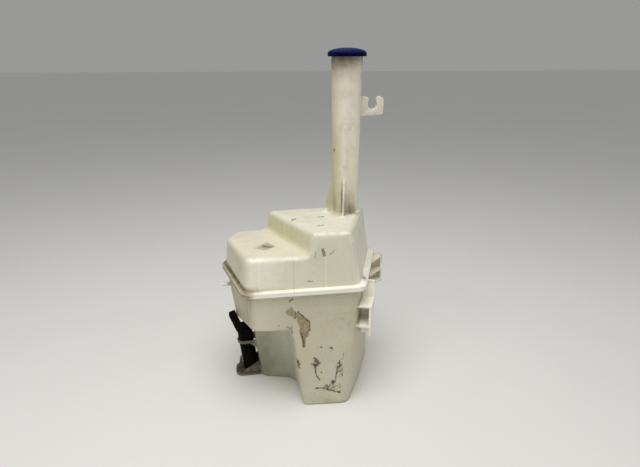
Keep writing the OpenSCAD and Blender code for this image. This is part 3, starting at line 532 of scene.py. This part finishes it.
# centre, radii and strength of each blot
neckFoot = {
    "tan": [((74, 41, 286), (15, 9, 42), 0.6), ((54, 45, 290), (13, 10, 46), 0.5),
            ((41, 56, 288), (9, 7, 36), 0.3)],
    "dirt": [((68, 38, 282), (8, 10, 46), 0.6), ((76, 39, 275), (13, 11, 20), 0.95),
             ((49, 48, 276), (8, 10, 34), 0.6), ((60, 36, 274), (30, 16, 6), 0.5)],
    "olive": [((45, 56, 300), (11, 9, 52), 0.5)],
    # pale spots at the rib feet and beside the neck: wear and painted highlights
    "worn": [((36.5, 57, 275), (6, 6, 6), 0.85), ((58.5, 22.5, 275), (6, 6, 6), 0.85),
             ((88, 52, 275), (10, 15, 9), 0.4)],
    "spot": [((49.3, 48.8, 369.5), (3.5, 3.5, 5), 0.8)],
    "flangeEnd": [((81, -28, 194), (6, 20, 6), 0.95)],
    "rib": ((59.5, 38.5, 276), (61, 39.5, 334), 3.2),  # both ends and width
    "ribTop": (336, 300),
    "drips": 150.0,
}


def neckFootCoats(at):  # and the end of the flange, which has the same runs of dirt
    mottled = 0.6 + at.spots * 0.4
    runs = 0.5 + drips(at.place, neckFoot["drips"]) * 0.5
    ribDirt = streak(at.shaken, *neckFoot["rib"], 0.1) * fade(at.z, *neckFoot["ribTop"])
    coats = blots("tan", at.shaken, neckFoot["tan"], 0.2, mottled)
    coats += blots("grime", at.shaken, neckFoot["dirt"], 0.1, runs)
    coats += blots("olive", at.shaken, neckFoot["olive"], 0.2)
    coats.append(("grime", ribDirt, 0.7))
    # wear and painted highlights at the rib feet and beside the neck
    coats += blots("rim", at.shaken, neckFoot["worn"], 0.3)
    coats += blots("grime", at.shaken, neckFoot["spot"], 0.2)
    coats += blots("grime", at.shaken, neckFoot["flangeEnd"], 0.1, runs)
    return coats


upperCoats = (deckCoats, wallCoats, upperFlangeCoats, stainCoats, upperScuffCoats, lineCoats, rightCoats,
              stemCoats, neckTopCoats, neckFootCoats)


# lower shell

lowerPlan = {
    "front": (-40, -48),
    "left": (-78, -92),
    "right": (72, 84),
    "raggedShake": [(95.0, 6.0), (420.0, 3.0)],  # scale and size, coarse then fine
    "scuffShake": [(150.0, 4.5), (520.0, 3.0)],
    "worn": (230.0, 5.0, 0.68),
    "wornEdge": (0.40, 0.58),
    "grit": (330.0, 6.0, 0.72),
}

# outlines of the smear, then lines with both ends and a width
smearPlan = {
    "wedge": [(-38.3, 0, 159.3), (-29.2, 0, 166.8), (-24.4, 0, 158.2), (-23.8, 0, 148.1),
              (-31.7, 0, 153.8)],
    "leaf": [(-23.2, 0, 156.4), (-19.7, 0, 159.4), (-3.2, 0, 142.1), (-3.3, 0, 128.5), (-5.7, 0, 118.4),
             (-11.1, 0, 114), (-14.9, 0, 115.8)],
    "tail": ((-11.6, 0, 119), (-12.1, 0, 102), 3.2),
    "edges": [((-24.2, 0, 160), (-23.6, 0, 149), 1.5), ((-20.5, 0, 159.6), (-3.4, 0, 142), 1.5),
              ((-15.4, 0, 124), (-12, 0, 101.5), 1.7), ((-3.2, 0, 142), (-3.4, 0, 128), 1.1)],
    "softness": (-0.8, 1.2),  # depth inside the outlines, as the next two
    "hemOuter": (-1.4, 0),
    "hemInner": (1.6, 0.2),
    "darkLow": (134, 104),
}

# x and z of both ends, width and strength
lowerScuffs = [
    (2.6, 82.5, 10.4, 72.7, 2.5, 1.0), (-0.6, 72.1, 5.7, 70.5, 2.8, 1.0), (4.1, 68, 6.5, 51.3, 1.5, 0.9),
    (6.5, 51.3, 10.4, 43.6, 1.5, 0.95), (12.6, 57, 13, 57.4, 1.5, 0.8), (46.7, 88, 45.2, 76.4, 1.0, 0.6),
    (40.6, 74, 38.9, 70, 2.4, 0.8), (39.4, 64.1, 40.4, 64.8, 3.5, 1.0), (36.9, 61, 35.2, 44.5, 1.6, 0.75),
    (45.5, 61, 45.7, 47, 1.8, 0.45), (30.4, 39, 31.4, 39.8, 4.2, 1.0), (19.4, 32, 20.6, 32.6, 3.6, 0.8),
    (4, 29.4, 18.4, 28.7, 1.5, 0.9), (18.4, 28.7, 41.2, 19.5, 2.4, 0.75), (41.2, 34.6, 42, 21.3, 1.4, 0.55),
    (-21.4, 78.5, -19.2, 66, 2.2, 0.8), (-36, 137.4, -32.8, 134.6, 1.6, 0.55),
    (-49.5, 139.4, -47, 139.2, 2.2, 0.4), (-32.8, 134.6, -28.5, 125.7, 1.2, 0.45),
    (8.7, 99.6, 9.3, 99.6, 1.6, 0.5), (13.3, 98.3, 13.9, 98.3, 1.7, 0.6),
    (27.6, 96.4, 28.6, 96.4, 2.4, 1.0), (-29.5, 178.2, -28.3, 178.6, 1.8, 1.0),
    (-32.4, 176.5, -26.6, 180, 0.9, 0.7),
]

# centre and radii of the dirt round the scuffs
lowerSmudges = [
    ((6, 0, 72), (10, 1, 13)), ((41, 0, 62), (9, 1, 24)), ((28, 0, 30), (22, 1, 11)),
    ((-20, 0, 72), (6, 1, 12)), ((-30, 0, 131), (7, 1, 10)),
]


def lowerSurvey(place):
    at = survey(place, lowerPlan)
    at.ragged = onFront(place, lowerPlan["raggedShake"])
    at.shaken = onFront(place, lowerPlan["scuffShake"])
    at.worn = fade(noise(place, *lowerPlan["worn"]), *lowerPlan["wornEdge"])
    at.grit = noise(place, *lowerPlan["grit"])
    at.depth = most(patch(at.ragged, smearPlan["wedge"]), patch(at.ragged, smearPlan["leaf"]))
    tail = streak(at.ragged, *smearPlan["tail"], 0.35)
    at.smear = most(fade(at.depth, *smearPlan["softness"]), tail) * at.front
    lines = []
    for startX, startZ, endX, endZ, width, strength in lowerScuffs:
        lines.append(scuffLine(at.shaken, (startX, 0, startZ), (endX, 0, endZ), width) * strength)
    at.scuffs = flakes(reduce(most, lines), at.grit) * at.front
    at.wear = most(at.scuffs, at.smear)
    return at


frontFilmAndShade = {
    "waves": (26.0, 26.0, 330.0),  # grain along x, y and z
    "wavesLow": (120, 150),
    "wiped": ((50, 0, 138), (24, 1, 18)),  # centre and radii
    "paleLeft": (-30, -70),
    # band below the flange that is given painted shade
    "oliveTop": (158, 180),
}


# dirt on the lower front wall, paler to the left, and painted shade in a band below the flange
def frontFilmAndShadeCoats(at):
    waves = fade(noise(flatten(at.place, frontFilmAndShade["waves"]), 1.0, 4.0), 0.55, 0.7)
    wiped = blot(onFront(at.place), *frontFilmAndShade["wiped"], 0.1)
    return [
        ("olive", at.front * waves * fade(at.z, *frontFilmAndShade["wavesLow"]), 0.22),
        ("grime", at.front * wiped * fade(noise(at.place, 95.0, 5.0, 0.65), 0.5, 0.64), 0.22),
        ("upper", at.front * fade(at.x, *frontFilmAndShade["paleLeft"]), 0.6),
        # painted shade: the band just below the flange made darker and yellower
        ("olive", at.front * fade(at.z, *frontFilmAndShade["oliveTop"]), 0.24),
    ]


def smearCoats(at):  # leaf-shaped smear with dark edges
    edges = reduce(most, [streak(at.shaken, *line, 0.2) for line in smearPlan["edges"]])
    hem = band(at.depth, smearPlan["hemOuter"], smearPlan["hemInner"]) * at.worn
    speckle = fade(at.fine, 0.4, 0.66) * 0.25
    return [
        ("olive", at.smear, 0.75 + at.fine * 0.4),
        ("grime", at.smear, 0.1 + speckle + fade(at.z, *smearPlan["darkLow"]) * 0.35),
        ("grime", most(edges, hem * 0.6) * at.front, 0.9),
    ]


def lowerScuffCoats(at):
    coats = []
    for centre, radii in lowerSmudges:
        zone = blot(at.ragged, centre, radii, 0.1) * at.front
        coats.append(("tan", zone * at.worn, 0.55))
        coats.append(("grime", flakes(zone * 0.46, at.grit), 0.7))
    coats.append(("black", at.scuffs, 0.5 + at.worn * 0.42))
    return coats


lowerFlange = {
    "rimLow": (seam - 5.5, seam - 4.0),
    "dirtBack": (-30, 50),
    "olive": 0.5,
    "oliveSpeckle": 0.4,
    "grime": 0.1,
    "grimeBack": 0.3,
    "underLow": (seam - 13, seam - 4.6),
    "underTop": (seam - 3.6, seam - 4.4),
    "weldTop": (seam - 1.2, seam),
}


def lowerFlangeCoats(at):
    rim = fade(at.z, *lowerFlange["rimLow"])
    # painted shade in the band below the flange, more on the right; the weld line is a dark joint
    shadeBelowFlange = band(at.z, lowerFlange["underLow"], lowerFlange["underTop"])
    line = most(shadeBelowFlange, fade(at.z, *lowerFlange["weldTop"]))
    return rimCoats(at, rim, lowerFlange) + [
        ("grime", shadeBelowFlange * at.patchy, 0.1 + at.right * 0.3),
        ("grime", line * at.left, 0.45 + fade(at.fine, 0.3, 0.55) * 0.5),
    ]


recessPlan = {
    "left": (-6, -24),
    "front": (-10, 4),
    "back": (68, 48),
    "top": (128, 112),
    "shadeLeft": (-28, -72),
    "shadeLow": (112, 10),
    "wallLow": (84, 104),
    "dripsLow": (100, 160),
    "drips": 170.0,
}


def recessCoats(at):  # recessed wall beside the pump painted darker and greener as painted shade, most to its left and bottom, and the left wall above it painted darker as painted shade, with runs of dirt
    depthways = band(at.y, recessPlan["front"], recessPlan["back"])
    wall = fade(at.x, *recessPlan["left"]) * depthways * fade(at.z, *recessPlan["top"])
    shade = fade(at.x, *recessPlan["shadeLeft"]) * 0.37 + fade(at.z, *recessPlan["shadeLow"]) * 0.3
    runs = drips(at.place, recessPlan["drips"])
    return [
        # painted shade: the recess wall made greener and darker, with blotches
        ("cool", wall, 0.85),
        ("shade", wall, 0.1 + shade + fade(at.blotch, 0.42, 0.66) * 0.14),
        # painted shade on the left-facing wall; the runs that follow are dirt
        ("olive", at.left * fade(at.z, *recessPlan["wallLow"]), 0.5),
        ("grime", at.left * runs * fade(at.z, *recessPlan["dripsLow"]), 0.7),
    ]


pocketPlan = {
    "left": (-78, -86),
    "top": (92, 80),
    "trayLeft": (-72, -74.5),
    "trayTop": (30, 27),
    "darkLow": (36, 24),
    "footLow": (4.6, 3.4),
    "pegLeft": (-118.5, -120.5),
    "pegTop": (170, 166),
}


def pocketCoats(at):  # pocket and tray of the pump painted dark, partly dirt and partly painted shade, darkest near the bottom, and the pale peg above
    tray = fade(at.x, *pocketPlan["trayLeft"]) * fade(at.z, *pocketPlan["trayTop"])
    pocket = most(fade(at.x, *pocketPlan["left"]) * fade(at.z, *pocketPlan["top"]), tray)
    peg = fade(at.x, *pocketPlan["pegLeft"]) * fade(at.z, *pocketPlan["pegTop"])
    return [
        # dirt and painted shade in the pump's pocket and tray
        ("tray", pocket, 0.68 + at.fine * 0.1 + fade(at.z, *pocketPlan["darkLow"]) * 0.2),
        ("olive", pocket * fade(at.z, *pocketPlan["footLow"]), 0.3),
        ("rim", peg, 0.85),
    ]


bracketPlan = {
    "way": Vector((0.938, -0.345, 0)),  # square to the right wall, which the brackets stand out of
    "webs": (82.5, 85),  # along way
    "top": (seam - 4, seam - 6),
    "tanBack": (30, 50),
    "endRight": (134, 137),
    "footLow": (24, 3),
}


def bracketCoats(at):  # brackets painted near-white as painted light, standing in for light through the plastic into their shaded pockets, and the stained foot of the tank
    reach = along(at.place, bracketPlan["way"]) / mm
    webs = fade(reach, *bracketPlan["webs"]) * fade(at.z, *bracketPlan["top"])
    return [
        # painted light: the webs made near-white
        ("rim", webs, 0.9),
        ("tan", webs * fade(at.y, *bracketPlan["tanBack"]) * fade(at.blotch, 0.44, 0.66), 0.3),
        ("grime", fade(at.x, *bracketPlan["endRight"]) * fade(at.fine, 0.38, 0.6), 0.35),
        ("olive", fade(at.z, *bracketPlan["footLow"]) * fade(at.blotch, 0.46, 0.68), 0.5),
    ]


lowerCoats = (frontFilmAndShadeCoats, smearCoats, lowerScuffCoats, lowerFlangeCoats, recessCoats, pocketCoats,
              bracketCoats)


tankSurface = {
    "rough": 0.44,
    "roughFine": 0.16,
    "roughWear": 0.2,
    "shine": 0.4,
    "depth": 0.12,  # share of light that enters the plastic
    "depthTint": (1.0, 0.85, 0.5),
    "depthReach": 3.0,
    "bumpFine": 0.4,
    "bumpCloud": 1.4,
    "bumpStrength": 0.12,
    "bumpHeight": 0.8,
}


def tankPlastic(name, tone, shellSurvey, shellCoats, look):
    material, surface, place = newMaterial(name)
    at = shellSurvey(place)
    colour = layer(tankTones[tone], agedCoats(at))
    for coats in shellCoats:
        colour = layer(colour, coats(at))
    plug(colour, surface, "Base Color")
    plug(look["rough"] + at.fine * look["roughFine"] + at.wear * look["roughWear"], surface, "Roughness")
    surface.inputs["Specular IOR Level"].default_value = look["shine"]
    surface.inputs["Subsurface Weight"].default_value = look["depth"]
    surface.inputs["Subsurface Radius"].default_value = look["depthTint"]
    surface.inputs["Subsurface Scale"].default_value = look["depthReach"] * mm
    height = at.fine * look["bumpFine"] + at.cloud * look["bumpCloud"]
    roughen(place, surface, height, look["bumpStrength"], look["bumpHeight"])
    return material


# cap, pump and inner finishes

finishes = {
    "cap": {"base": (0.0005, 0.0019, 0.026), "other": (0.0016, 0.006, 0.062), "rough": 0.4, "scale": 60.0,
            "shine": 0.03, "domeSheen": (0.017, 0.030, 0.120), "domeSheenHeight": (505.5, 512.5)},
    "pump": {"base": (0.004, 0.0034, 0.002), "other": (0.012, 0.0095, 0.005), "rough": 0.66, "scale": 90.0,
             "shine": 0.03},
    "rubber": {"base": (0.018, 0.018, 0.018), "other": (0.04, 0.038, 0.036), "rough": 0.7, "scale": 200.0},
    "nylon": {"base": (0.72, 0.69, 0.58), "other": (0.6, 0.56, 0.42), "rough": 0.45, "scale": 120.0},
    "steel": {"base": (0.55, 0.55, 0.56), "other": (0.38, 0.37, 0.36), "rough": 0.32, "scale": 300.0,
              "metal": 1.0},
    "ferrite": {"base": (0.05, 0.048, 0.046), "other": (0.09, 0.085, 0.08), "rough": 0.6, "scale": 250.0},
    "copper": {"base": (0.62, 0.33, 0.16), "other": (0.36, 0.19, 0.09), "rough": 0.35, "scale": 260.0,
               "metal": 1.0},
    "carbon": {"base": (0.03, 0.03, 0.032), "other": (0.06, 0.06, 0.062), "rough": 0.55, "scale": 400.0},
}
finishGrain = {"cloudEdge": (0.42, 0.72), "fineTimes": 6, "roughSwing": 0.2, "roughShift": 0.08,
               "bumpStrength": 0.08, "bumpHeight": 0.3, "sheenScale": 140.0, "sheenEdge": (0.36, 0.62)}


def plainFinish(name, look):
    material, surface, place = newMaterial(name)
    cloud = noise(place, look["scale"], 4.0)
    fine = noise(place, look["scale"] * finishGrain["fineTimes"], 2.0)
    colour = blend(look["base"], look["other"], fade(cloud, *finishGrain["cloudEdge"]))
    if "domeSheen" in look:  # painted sheen: the dome painted a lighter blue towards its top
        filmAndSheen = fade(axes(place)[2], *look["domeSheenHeight"])
        uneven = 0.4 + fade(noise(place, finishGrain["sheenScale"], 5.0), *finishGrain["sheenEdge"]) * 0.6
        colour = blend(colour, look["domeSheen"], filmAndSheen * uneven)
    plug(colour, surface, "Base Color")
    rough = look["rough"] + cloud * finishGrain["roughSwing"] - finishGrain["roughShift"]
    plug(rough, surface, "Roughness")
    surface.inputs["Metallic"].default_value = look.get("metal", 0.0)
    surface.inputs["Specular IOR Level"].default_value = look.get("shine", 0.5)
    roughen(place, surface, fine, finishGrain["bumpStrength"], finishGrain["bumpHeight"])
    return material


materials = {name: plainFinish(name + "Finish", look) for name, look in finishes.items()}
materials["upperTank"] = tankPlastic("upperTankPlastic", "upper", upperSurvey, upperCoats, tankSurface)
materials["lowerTank"] = tankPlastic("lowerTankPlastic", "lower", lowerSurvey, lowerCoats, tankSurface)
print("materials:", len(materials))


# dressed copies of the outer mouldings

# bevel in mm, smooth in degrees
dressing = {
    "upper_shell": {"name": "upperShell", "material": "upperTank", "slot": "tank", "body": "tank",
                    "smooth": 32, "bevel": 0.5},
    "lower_shell": {"name": "lowerShell", "material": "lowerTank", "slot": "tank", "body": "tank",
                    "smooth": 32, "bevel": 0.5},
    "filler_cap": {"name": "fillerCap", "material": "cap", "slot": "cap", "body": "cap",
                   "smooth": 28, "bevel": 0.6},
    "pump_housing": {"name": "pumpHousing", "material": "pump", "slot": "pump", "body": "tank",
                     "smooth": 30, "bevel": 0.4},
    "pump_body": {"name": "pumpBody", "material": "pump", "slot": "pump", "body": "tank",
                  "smooth": 30, "bevel": 0.3},
    "pump_cover": {"name": "pumpCover", "material": "pump", "slot": "pump", "body": "tank",
                   "smooth": 30, "bevel": 0.4},
}
meshWork = {"merge": 0.004, "flatAngle": 0.6, "bevelAngle": 48, "bevelSteps": 2}  # mm and degrees


def dress(node, plan):
    bpy.ops.object.select_all(action="DESELECT")
    piece = bpy.data.objects.new(plan["name"], nodes[node].data.copy())
    bpy.context.collection.objects.link(piece)
    bpy.context.view_layer.objects.active = piece
    piece.select_set(True)
    bpy.ops.object.mode_set(mode="EDIT")
    bpy.ops.mesh.select_all(action="SELECT")
    bpy.ops.mesh.remove_doubles(threshold=meshWork["merge"] * mm)
    bpy.ops.mesh.dissolve_limited(angle_limit=math.radians(meshWork["flatAngle"]))
    bpy.ops.object.mode_set(mode="OBJECT")
    edge = piece.modifiers.new("edge", "BEVEL")
    edge.width = plan["bevel"] * mm
    edge.segments = meshWork["bevelSteps"]
    edge.limit_method = "ANGLE"
    edge.angle_limit = math.radians(meshWork["bevelAngle"])
    edge.use_clamp_overlap = True
    bpy.ops.object.modifier_apply(modifier="edge")
    bpy.ops.object.shade_smooth_by_angle(angle=math.radians(plan["smooth"]))
    piece.data.materials.clear()
    piece.data.materials.append(materials[plan["material"]])
    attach(piece, plan["body"])
    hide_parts(node)


for node, plan in dressing.items():
    dress(node, plan)
print("dressed mouldings:", len(dressing))

innerFinish = {
    "rubber": ("cover_seal", "inlet_grommet", "shaft_seal"),
    "nylon": ("inlet_strainer", "impeller", "brush_plate"),
    "steel": ("motor_can", "lower_bearing", "upper_bearing", "motor_shaft", "armature_core", "spring_left",
              "spring_right"),
    "ferrite": ("magnet_front", "magnet_rear"),
    "copper": ("armature_windings", "commutator", "terminal_front", "terminal_rear"),
    "carbon": ("brush_left", "brush_right"),
}
for finish, names in innerFinish.items():
    for name in names:
        mesh = nodes[name].data
        mesh.materials.clear()
        mesh.materials.append(materials[finish])
print("inner finishes set")


# floor, light and camera, in metres

stageLook = {
    "size": 40.0,
    "floor": (0.86, 0.855, 0.84),
    "floorDark": 0.98,  # share of the tone in its darker clouds
    "floorClouds": 3.0,
    "floorRough": 0.6,
    "world": (0.80, 0.80, 0.785),
    "worldStrength": 0.40,
}


def buildStage(look):
    bpy.ops.object.select_all(action="DESELECT")
    bpy.ops.mesh.primitive_plane_add(size=look["size"], location=(0, 0, 0))
    floor = bpy.context.object
    floor.name = "floor"
    material, surface, place = newMaterial("floorPaint")
    darker = [c * look["floorDark"] for c in look["floor"]]
    clouds = fade(noise(place, look["floorClouds"]), 0.4, 0.7)
    plug(blend(look["floor"], darker, clouds), surface, "Base Color")
    surface.inputs["Roughness"].default_value = look["floorRough"]
    floor.data.materials.append(material)
    world = bpy.data.worlds.new("studio")
    world.use_nodes = True
    back = world.node_tree.nodes["Background"]
    back.inputs["Color"].default_value = (*look["world"], 1.0)
    back.inputs["Strength"].default_value = look["worldStrength"]
    bpy.context.scene.world = world


overhead = {
    "place": (-0.15, -0.45, 1.5),
    "aim": (0, 0.02, 0.2),
    "size": 1.3,
    "power": 17.0,
    "tint": (1.0, 0.99, 0.96),
}


def hangLamp(name, plan):
    data = bpy.data.lights.new(name, "AREA")
    data.shape = "DISK"
    data.size = plan["size"]
    data.energy = plan["power"]
    data.color = plan["tint"]
    lamp = bpy.data.objects.new(name, data)
    lamp.location = plan["place"]
    sight = Vector(plan["aim"]) - Vector(plan["place"])
    lamp.rotation_euler = sight.to_track_quat("-Z", "Y").to_euler()
    bpy.context.collection.objects.link(lamp)


cameraPlan = {
    "place": (-0.0905, -0.6994, 0.5),
    "heading": (0.1564, 0.9877),
    "pitch": 19.0,  # degrees down
    "focal": 510.0,  # in pixels of a picture as wide as imageWidth
    "imageWidth": 640,
    "sensor": 36.0,
}


def placeCamera(plan):
    data = bpy.data.cameras.new("photoView")
    data.sensor_fit = "HORIZONTAL"
    data.sensor_width = plan["sensor"]
    data.lens = plan["focal"] / plan["imageWidth"] * plan["sensor"]
    camera = bpy.data.objects.new("photoView", data)
    camera.location = plan["place"]
    pitch = math.radians(plan["pitch"])
    sight = Vector((*plan["heading"], 0)).normalized() * math.cos(pitch) - Vector((0, 0, math.sin(pitch)))
    camera.rotation_euler = sight.to_track_quat("-Z", "Y").to_euler()
    bpy.context.collection.objects.link(camera)
    bpy.context.scene.camera = camera


buildStage(stageLook)
hangLamp("overhead", overhead)
placeCamera(cameraPlan)
bpy.context.scene.view_settings.view_transform = "Standard"
print("stage ready")
